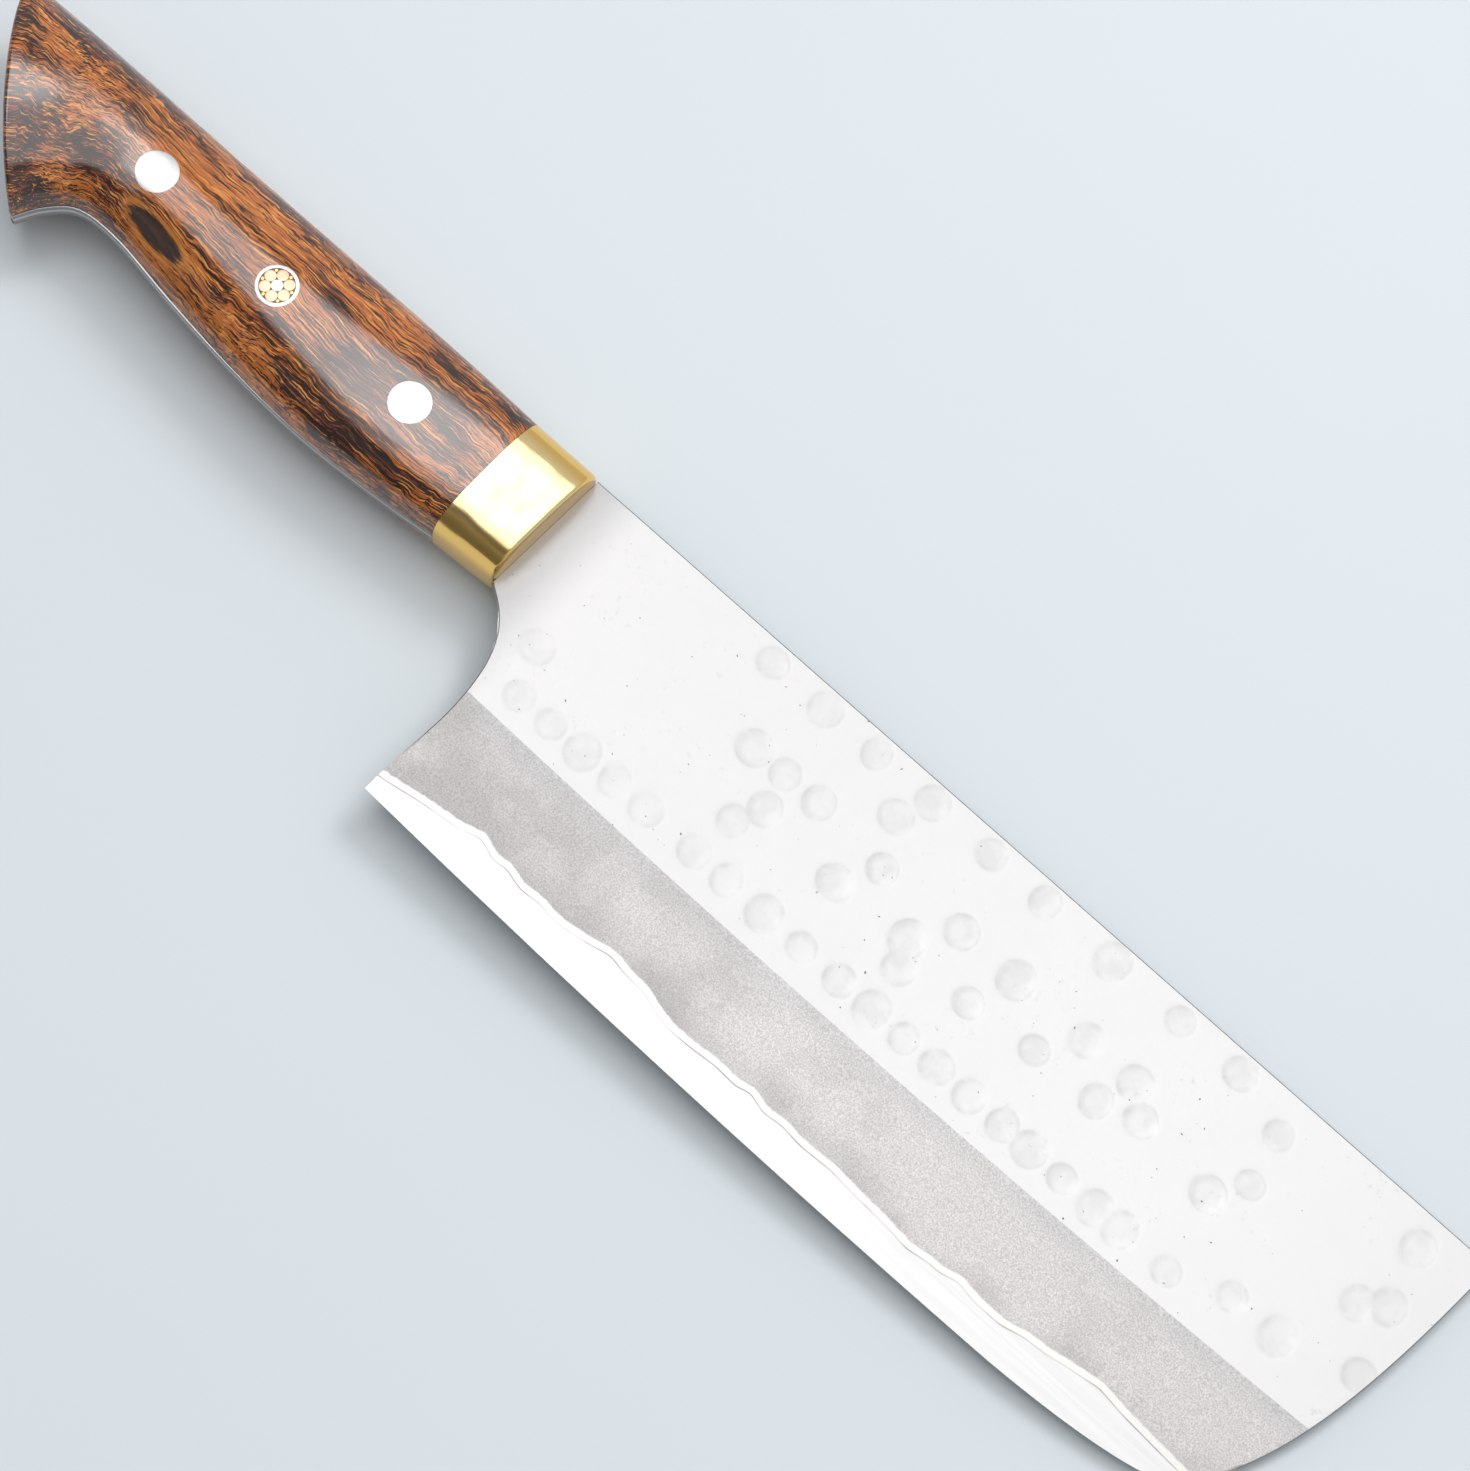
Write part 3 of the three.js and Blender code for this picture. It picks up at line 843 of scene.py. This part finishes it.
class KnifeHandleSettings(bpy.types.PropertyGroup):
    """Finish of the handle and its fittings."""
    wood_orange: colour_setting("Orange wood", "Main colour of the wood", (0.45, 0.122, 0.019))
    wood_gold: colour_setting("Golden wood", "Lightest streaks of the wood", (0.69, 0.275, 0.055))
    wood_red: colour_setting("Red wood", "Deeper parts of the wood", (0.2, 0.04, 0.01))
    wood_dark: colour_setting("Dark wood", "Dark veins of the wood", (0.014, 0.006, 0.005))
    brass_colour: colour_setting("Brass", "Colour of the bolster's sides", (0.95, 0.61, 0.19))
    # Painted highlight on the bolster's crowns
    brass_highlight_colour: colour_setting("Painted brass highlight", "Colour of the bolster's crowns", (0.94, 0.73, 0.38))
    pin_colour: colour_setting("Pin steel", "Colour of the plain pins", (0.58, 0.58, 0.574))
    # Painted highlight: a paler copy of the pin steel for the tube and its middle rod
    tube_highlight_colour: colour_setting("Tube steel", "Colour of the tube and its middle rod", (0.78, 0.78, 0.77))
    copper_colour: colour_setting("Copper", "Colour of the thick rods", (0.74, 0.44, 0.31))
    resin_colour: colour_setting("Resin", "Colour of the filling between the rods", (0.14, 0.1, 0.06))


class KnifeStageSettings(bpy.types.PropertyGroup):
    """Light, floor and camera."""
    floor_colour: colour_setting("Floor", "Colour of the floor", (0.624, 0.667, 0.697))
    softbox_level: number_setting("Softbox", "Brightness of the softbox", 1.8)
    strip_level: number_setting("Strip light", "Brightness of the strip over the handle", 3.5)
    key_level: number_setting("Key light", "Brightness of the lamp on the spine's side", 9.0)
    far_wall_level: number_setting("Far wall", "Brightness of the wall on the spine's side", 0.62)
    near_wall_level: number_setting("Near wall", "Brightness of the wall on the edge's side", 0.16)
    ceiling_level: number_setting("Ceiling", "Brightness of the ceiling", 0.14)
    lens: bpy.props.FloatProperty(
        name="Lens", description="Focal length of the camera in millimetres", default=102.857, min=20.0,
        unit="CAMERA")


# Blade pieces

def hammer_marks(blade, side):
    """Place and depth of every hammer mark on one face; the left face has its own arrangement."""
    marks = [(x, y, blade.mark_depth) for y, row in SHALLOW_ROWS for x in row]
    marks += [(x, y, DEEP_FACTOR * blade.mark_depth) for x, y in DEEP_MARKS]
    return marks if side > 0 else [(TIP_X - LEFT_FACE_SHIFT - x, y, depth) for x, y, depth in marks]


def hammered_relief(x, y, marks, blade):
    """Depth of the hammered surface below the plate's face."""
    relief = np.zeros_like(x)
    for number, (mark_x, mark_y, depth) in enumerate(marks):
        radius = blade.mark_radius * (1 + MARK_SIZE_SWING * math.sin(MARK_SIZE_STEP * number))
        squeeze = 1 + MARK_SHAPE_SWING * math.cos(MARK_SHAPE_STEP * number)
        distance = np.hypot(x - mark_x, (y - mark_y) * squeeze) / radius
        relief = np.maximum(relief, depth * smooth_step(distance, 1.0, MARK_FLOOR))
    return relief * smooth_step(y - grind_height(x), *MARK_FADE)


def weld_height(x, blade):
    return band_height(x) - blade.band_width


def blade_rows(blade, share, column):
    """Points of the blade's face: share 0 is the spine, 1 the grind line and 2 the weld line."""
    x = column * TIP_X + 0 * share
    for _ in range(BLADE_PASSES):
        grind = grind_height(x)
        below = grind + (share - 1) * (weld_height(x, blade) - grind)
        y = np.where(share <= 1, share * grind, below)
        left = blade_left(y)
        x = left + (blade_right(y) - left) * column
    return x, y


def eased(count, length):
    """Even steps from 0 to 1 with a narrow one at each end for the eased edge."""
    narrow = EASED_EDGE / length
    return np.concatenate([[0], np.linspace(narrow, 1 - narrow, count - 1), [1]])


def tang_outline():
    """Outline of the tang inside the bolster and the handle."""
    along = np.linspace(0, 1, TANG_POINTS)
    spine, belly = spline(SPINE_LINE, along), spline(BELLY_LINE, along[::-1])
    butt = drawn_in(handle_section(1.0), BUTT_ROUND)
    across = np.linspace(1, 0, BUTT_POINTS)[:, None]
    end = section_line(butt, across) + butt["outward"] * BUTT_SHIFT
    notch = [(BOLSTER_REAR["belly"][0], NOTCH_Y)]
    belly_x, belly_y = BOLSTER_FRONT["belly"]
    front = [(belly_x * NOTCH_Y / belly_y, NOTCH_Y)]
    return np.vstack([[(0.0, 0.0)], spine, end, belly, notch, front])


def add_tang(name, low, high):
    tang = add_plate(name, tang_outline(), low, high)
    for place in HANDLE_PINS:
        bore(tang, place, PIN_RADIUS + FIT_GAP)
    for place in BOLSTER_PINS.values():
        bore(tang, place, BOLSTER_PIN_RADIUS + FIT_GAP)
    return tang


def join_tang(piece, tang, degrees):
    select_only(piece, tang)
    bpy.ops.object.join()
    shade(piece, degrees)


def add_cladding(name, blade, side):
    """One cladding: a hammered and ground face with its walls and back, and its layer of the tang."""
    marks = hammer_marks(blade, side)
    column = eased(BLADE_COLUMNS, TIP_X)[None, :]
    upper = eased(HAMMERED_ROWS, -GRIND_LOWEST[1])[:-1]
    share = np.concatenate([upper, np.linspace(1, 2, BEVEL_ROWS + 1)])[:, None]
    x, y = blade_rows(blade, share, column)
    height = face_height(x, y)
    heel_side = np.where(y < CHOIL_START[1], x - blade_left(y), EASED_EDGE)
    margin = np.minimum(np.minimum(-y, heel_side), blade_right(y) - x)
    easing = np.clip(EASED_EDGE - margin, 0, None) * np.clip((height - EASING_START) / EASING_RUN, 0, 1)
    relief = hammered_relief(x, y, marks, blade)
    face = add_net(name, np.stack([x, y, side * (height - easing - relief)], axis=-1))
    add_back(face, side)
    low, high = sorted((side * (CORE_HALF + WELD_GAP), side * BLADE_HALF))
    join_tang(face, add_tang("tang_layer", low, high), CLADDING_SMOOTHING)
    measure_cladding(face, blade, marks)
    paint_cladding(face, side)
    return face


def add_back(face, side):
    """Walls from the rim of the face down to the core, and a back between them."""
    start_edit()
    bpy.ops.mesh.region_to_loop()
    bpy.ops.mesh.extrude_edges_indiv()
    bpy.ops.object.mode_set(mode="OBJECT")
    points = read_points(face)
    rim = np.empty(len(points), bool)
    face.data.vertices.foreach_get("select", rim)
    under = np.minimum(CORE_HALF + WELD_GAP, np.abs(points[:, 2]) - LEAST_WALL)
    points[rim, 2] = side * under[rim]
    put_points(face, points)
    bpy.ops.object.mode_set(mode="EDIT")
    bpy.ops.mesh.edge_face_add()
    end_edit()


def measure_cladding(face, blade, marks):
    """Keeps how far each point lies above the weld, below the grind line and down in a hammer mark."""
    x, y, _ = read_points(face).T
    add_measure(face, "above_weld", y - weld_height(x, blade))
    add_measure(face, "below_grind", grind_height(x) - y)
    hollow = hammered_relief(x, y, marks, blade)
    add_measure(face, "hollow", hollow / (DEEP_FACTOR * blade.mark_depth))


def paint_cladding(face, side):
    """Hammered steel above the grind line, blasted steel below it and ground steel on the sides."""
    centre = read_faces(face, "center") / MM - ORIGIN
    normal = read_faces(face, "normal")
    zone = np.where(centre[:, 1] > grind_height(centre[:, 0]), 0, 1)
    zone[(side * normal[:, 2] < FACE_NORMAL) | (centre[:, 0] < TANG_START)] = 2
    face.data.polygons.foreach_set("material_index", zone)


def add_core(blade):
    """The core: a polished strip along the edge and a thin plate between the claddings."""
    column = eased(BLADE_COLUMNS, TIP_X)
    side = []
    for share in np.linspace(0, 2, PLATE_ROWS + 1):
        x, y = blade_rows(blade, share, column)
        side.append(np.stack([x, y, np.minimum(CORE_HALF, face_height(x, y) - CORE_COVER)], axis=-1))
    weld = side[-1][:, :2] - (0, WELD_GAP)
    turn = 1 - TIP_TURN_RUN / TIP_X
    foot_x = np.interp(column, [0, turn, 1], [HEEL_X, TIP_TURN[0], weld[-1, 0]])
    past_turn = np.interp(column, [turn, 1], [TIP_TURN[1], weld[-1, 1]])
    foot_y = np.where(column < turn, edge_height(foot_x), past_turn)
    foot = np.stack([foot_x, foot_y], axis=-1)
    side[-1] = side[-1] - (0, WELD_GAP / 2, 0)
    for part in np.linspace(0, 1, STRIP_ROWS + 1):
        flat = weld + (foot - weld) * part
        side.append(np.column_stack([flat, face_height(flat[:, 0], flat[:, 1])]))
    mirror = [line * (1, 1, -1) for line in side[::-1]]
    core = add_loft("core_steel_strip", np.stack(side + mirror, axis=1))
    join_tang(core, add_tang("tang_core", -CORE_HALF, CORE_HALF), CORE_SMOOTHING)
    return core


# Handle pieces

def add_scale(name, side):
    """One wooden scale, rounded at the butt and drilled for the pins."""
    sections = [handle_section(value) for value in np.linspace(0, 1, HANDLE_RINGS)]
    end = sections[-1]
    for turn in np.linspace(0, math.pi / 2, BUTT_RINGS + 1)[1:]:
        section = drawn_in(end, BUTT_ROUND * (1 - math.cos(turn)))
        shift = end["outward"] * BUTT_SHIFT * math.sin(turn)
        sections.append({**section, "spine": section["spine"] + shift, "belly": section["belly"] + shift})
    rings = [section_ring(section, SCALE_FLOOR) for section in sections]
    rings.append(rings[-1] * (1, 1, 0) + (0, 0, SCALE_FLOOR))
    piece = add_loft(name, np.array(rings) * (1, 1, side))
    for place in HANDLE_PINS:
        bore(piece, place, PIN_RADIUS + PIN_GAP)
    shade(piece, HANDLE_SMOOTHING)
    points = read_points(piece)
    along, across = handle_place(points[:, 0], points[:, 1])
    grain = np.column_stack([along * GRAIN_LENGTH, across * GRAIN_HEIGHT, points[:, 2]])
    add_measure(piece, "grain", grain)
    return piece


def add_bolster():
    """A collar with a rounded front edge, slotted for the tang."""
    sections = []
    for turn in np.linspace(0, math.pi / 2, ROUND_RINGS):
        along = BOLSTER_ROUND * (1 - math.cos(turn)) / BOLSTER_LENGTH
        sections.append(drawn_in(bolster_section(along), BOLSTER_ROUND * (1 - math.sin(turn))))
    sections += [bolster_section(along) for along in np.linspace(COLLAR_START, 1, COLLAR_RINGS)]
    collar = add_loft("bolster_collar", [section_ring(section) for section in sections])
    reach = (6 * BOLSTER_LENGTH, 2 * -NOTCH_Y, 2 * (BLADE_HALF + FIT_GAP))
    middle = np.array([0, NOTCH_Y - FIT_GAP + reach[1] / 2, 0])
    clear_selection()
    bpy.ops.mesh.primitive_cube_add(size=1, location=(middle + ORIGIN) * MM, scale=np.array(reach) * MM)
    cut_away(collar, new_piece("slot"))
    for place in BOLSTER_PINS.values():
        bore(collar, place, BOLSTER_PIN_RADIUS + FIT_GAP, BOLSTER_PIN_SIDES, BOLSTER_PIN_REACH + FIT_GAP)
    shade(collar, HANDLE_SMOOTHING)
    return collar


def add_rod(name, place, radius, sides=PIN_SIDES, rim=PIN_RIM, drop=0.0):
    """A rod through the handle, with softened rims and ends that follow the handle's surface."""
    rod = add_cylinder(name, place, radius, PIN_REACH, sides)
    bpy.ops.object.mode_set(mode="EDIT")
    bpy.ops.mesh.select_all(action="DESELECT")
    bpy.ops.object.mode_set(mode="OBJECT")
    for polygon in rod.data.polygons:
        polygon.select = abs(polygon.normal.z) > END_NORMAL
    bpy.ops.object.mode_set(mode="EDIT")
    for share in END_INSETS:
        bpy.ops.mesh.inset(thickness=share * radius * MM, use_individual=True)
    bpy.ops.object.mode_set(mode="OBJECT")
    points = read_points(rod)
    away = np.hypot(points[:, 0] - place[0], points[:, 1] - place[1]) / radius
    softening = np.where(away > RIM_START, rim, 0.0)
    rise = handle_rise(points[:, 0], points[:, 1]) - drop - softening
    points[:, 2] = np.sign(points[:, 2]) * rise
    put_points(rod, points)
    shade(rod, PIN_SMOOTHING)
    return rod


def ring_place(radius, angle):
    return (MOSAIC_PIN[0] + radius * math.cos(angle), MOSAIC_PIN[1] + radius * math.sin(angle))


# Stage pieces

def add_floor(stage):
    """The table top, sloped to lie under both the bolster and the butt."""
    clear_selection()
    at = (np.array(FLOOR_UNDER_BOLSTER) + ORIGIN) * MM
    turn = (0, -math.atan(FLOOR_SLOPE), 0)
    bpy.ops.mesh.primitive_plane_add(size=FLOOR_SIZE, location=at, rotation=turn)
    floor = bpy.context.object
    floor.name = "table_top"
    floor.data.materials.append(floor_finish(stage))


def add_panel_light(name, place, size, tilt, level):
    """A flat lamp facing down, tilted about X, that is level times as bright as a white wall."""
    bpy.ops.object.light_add(type="AREA", location=place, rotation=(tilt, 0, 0))
    lamp = bpy.context.object
    lamp.name = name
    lamp.data.shape = "RECTANGLE"
    lamp.data.size, lamp.data.size_y = size
    lamp.data.energy = math.pi * size[0] * size[1] * level
    return lamp


def room_light(stage):
    """A room with a pale wall on the spine's side, a darker one on the edge's side and a dim ceiling."""
    room = bpy.data.worlds.new("room")
    recipe = Recipe(room)
    _, aside, upward = recipe.parts(recipe.node("TexCoord", {}).outputs["Generated"])
    walls = recipe.between(aside, *WALL_SIDES, stage.near_wall_level, stage.far_wall_level)
    level = recipe.between(upward, *WALL_TOP, walls, stage.ceiling_level)
    background = room.node_tree.nodes["Background"]
    recipe.feed(background.inputs["Color"], rgba(ROOM_TINT))
    recipe.feed(background.inputs["Strength"], level)
    return room


def add_camera(stage):
    bpy.ops.object.camera_add(location=(np.array(CAMERA_PLACE) + ORIGIN) * MM)
    camera = bpy.context.object
    back = (Vector(CAMERA_PLACE) - Vector(CAMERA_AIM)).normalized()
    right = Vector(CAMERA_UP).cross(back).normalized()
    camera.rotation_euler = Matrix((right, back.cross(right), back)).transposed().to_euler()
    camera.data.sensor_fit = "HORIZONTAL"
    camera.data.sensor_width = SENSOR_WIDTH
    camera.data.lens = stage.lens
    return camera


# Operators

class KNIFE_OT_stage(bpy.types.Operator):
    """Add the floor, the lamps, the room light and the camera"""
    bl_idname = "knife.stage"
    bl_label = "Stage"

    def execute(self, context):
        stage = context.scene.knife_stage
        add_floor(stage)
        add_panel_light("softbox", SOFTBOX_PLACE, SOFTBOX_SIZE, 0.0, stage.softbox_level)
        add_panel_light("strip_light", STRIP_PLACE, STRIP_SIZE, 0.0, stage.strip_level)
        key = add_panel_light("key_light", KEY_PLACE, KEY_SIZE, KEY_TILT, stage.key_level)
        key.visible_glossy = False
        context.scene.world = room_light(stage)
        context.scene.camera = add_camera(stage)
        context.scene.view_settings.view_transform = "Standard"
        return {"FINISHED"}


class KNIFE_OT_claddings(bpy.types.Operator):
    """Add the two hammered claddings of the blade"""
    bl_idname = "knife.claddings"
    bl_label = "Claddings"

    def execute(self, context):
        blade = context.scene.knife_blade
        finishes = (hammered_finish(blade), bevel_finish(blade), plate_edge_finish(blade))
        for name, side in SIDES.items():
            face = add_cladding(f"{name}_cladding_face", blade, side)
            fit(face, f"{name}_cladding", "cladding_steel", *finishes)
        return {"FINISHED"}


class KNIFE_OT_core(bpy.types.Operator):
    """Add the core steel with its polished strip along the edge"""
    bl_idname = "knife.core"
    bl_label = "Core"

    def execute(self, context):
        blade = context.scene.knife_blade
        fit(add_core(blade), "core_steel", "core_steel", core_finish(blade))
        return {"FINISHED"}


class KNIFE_OT_bolster(bpy.types.Operator):
    """Add the brass bolster and its hidden pins"""
    bl_idname = "knife.bolster"
    bl_label = "Bolster"

    def execute(self, context):
        handle = context.scene.knife_handle
        # The bolster's crowns get a painted highlight.
        brass = polished_finish(
            "polished_brass", handle.brass_colour, roughness=0.16, rub_depth=0.012, swell_depth=0.22,
            crown_highlight_colour=handle.brass_highlight_colour)
        fit(add_bolster(), "bolster", "bolster_brass", brass)
        for node, place in BOLSTER_PINS.items():
            size = (BOLSTER_PIN_RADIUS, BOLSTER_PIN_REACH, BOLSTER_PIN_SIDES)
            pin = add_cylinder(f"{node}_brass", place, *size)
            shade(pin, PIN_SMOOTHING)
            fit(pin, node, "bolster_brass", brass)
        return {"FINISHED"}


class KNIFE_OT_scales(bpy.types.Operator):
    """Add the two wooden scales"""
    bl_idname = "knife.scales"
    bl_label = "Scales"

    def execute(self, context):
        wood = wood_finish(context.scene.knife_handle)
        for name, side in SIDES.items():
            fit(add_scale(f"{name}_scale_wood", side), f"{name}_scale", "handle_wood", wood)
        return {"FINISHED"}


class KNIFE_OT_plain_pins(bpy.types.Operator):
    """Add the front and rear pins"""
    bl_idname = "knife.plain_pins"
    bl_label = "Plain pins"

    def execute(self, context):
        colour = context.scene.knife_handle.pin_colour
        steel = polished_finish("polished_pin_steel", colour, roughness=0.36)
        for node, place in (("front_pin", FRONT_PIN), ("rear_pin", REAR_PIN)):
            fit(add_rod(f"{node}_steel", place, PIN_RADIUS), node, "pin_steel", steel)
        return {"FINISHED"}


class KNIFE_OT_mosaic_pin(bpy.types.Operator):
    """Add the mosaic pin: a tube packed with rods in resin"""
    bl_idname = "knife.mosaic_pin"
    bl_label = "Mosaic pin"

    def execute(self, context):
        handle = context.scene.knife_handle
        # The tube and the middle rod take a paler copy of the pin steel: a painted highlight.
        steel = polished_finish("polished_tube_steel", handle.tube_highlight_colour, roughness=0.4)
        copper = polished_finish("polished_copper", handle.copper_colour, roughness=0.34)
        brass = polished_finish("polished_rod_brass", handle.brass_colour, roughness=0.34)
        tube = add_rod("mosaic_tube_steel", MOSAIC_PIN, PIN_RADIUS)
        bore(tube, MOSAIC_PIN, TUBE_BORE_RADIUS, PIN_SIDES)
        shade(tube, PIN_SMOOTHING)
        fit(tube, "mosaic_tube", "pin_steel", steel)
        resin = add_rod("mosaic_epoxy_resin", MOSAIC_PIN, RESIN_RADIUS, rim=0.0, drop=RESIN_DROP)
        rods = [("mosaic_centre_rod", MOSAIC_PIN, ROD_RADIUS, "pin_steel", steel)]
        pitch = 2 * math.pi / ROD_COUNT
        for number in range(ROD_COUNT):
            angle = FIRST_ROD_ANGLE + number * pitch
            thick = ring_place(ROD_RING_RADIUS, angle)
            thin = ring_place(THIN_ROD_RING_RADIUS, angle + pitch / 2)
            rods.append((f"mosaic_copper_rod_{number + 1}", thick, ROD_RADIUS, "rod_copper", copper))
            rods.append((f"mosaic_brass_rod_{number + 1}", thin, THIN_ROD_RADIUS, "rod_brass", brass))
        for node, place, radius, slot, finish in rods:
            bore(resin, place, radius + ROD_GAP, ROD_SIDES)
            fit(add_rod(f"{node}_end", place, radius, ROD_SIDES, rim=ROD_RIM), node, slot, finish)
        shade(resin, PIN_SMOOTHING)
        fit(resin, "mosaic_epoxy", "pin_resin", resin_finish(handle))
        return {"FINISHED"}


class KNIFE_PT_panel(bpy.types.Panel):
    """Sidebar list of the knife's pieces and settings"""
    bl_idname = "KNIFE_PT_panel"
    bl_label = "Nakiri knife"
    bl_space_type = "VIEW_3D"
    bl_region_type = "UI"
    bl_category = "Knife"

    def draw(self, context):
        for operator in OPERATORS:
            self.layout.operator(operator.bl_idname)
        for group in SETTINGS:
            settings = getattr(context.scene, group)
            box = self.layout.box()
            for name in settings.__annotations__:
                box.prop(settings, name)


SETTINGS = {
    "knife_blade": KnifeBladeSettings,
    "knife_handle": KnifeHandleSettings,
    "knife_stage": KnifeStageSettings,
}
OPERATORS = (
    KNIFE_OT_stage,
    KNIFE_OT_claddings,
    KNIFE_OT_core,
    KNIFE_OT_bolster,
    KNIFE_OT_scales,
    KNIFE_OT_plain_pins,
    KNIFE_OT_mosaic_pin,
)


def register():
    for group in SETTINGS.values():
        bpy.utils.register_class(group)
    for name, group in SETTINGS.items():
        setattr(bpy.types.Scene, name, bpy.props.PointerProperty(type=group))
    for operator in OPERATORS:
        bpy.utils.register_class(operator)
    bpy.utils.register_class(KNIFE_PT_panel)


def unregister():
    bpy.utils.unregister_class(KNIFE_PT_panel)
    for operator in reversed(OPERATORS):
        bpy.utils.unregister_class(operator)
    for name, group in SETTINGS.items():
        delattr(bpy.types.Scene, name)
        bpy.utils.unregister_class(group)


def main():
    register()
    bpy.ops.knife.stage()
    bpy.ops.knife.claddings()
    bpy.ops.knife.core()
    bpy.ops.knife.bolster()
    bpy.ops.knife.scales()
    bpy.ops.knife.plain_pins()
    bpy.ops.knife.mosaic_pin()


if __name__ == "__main__":
    main()
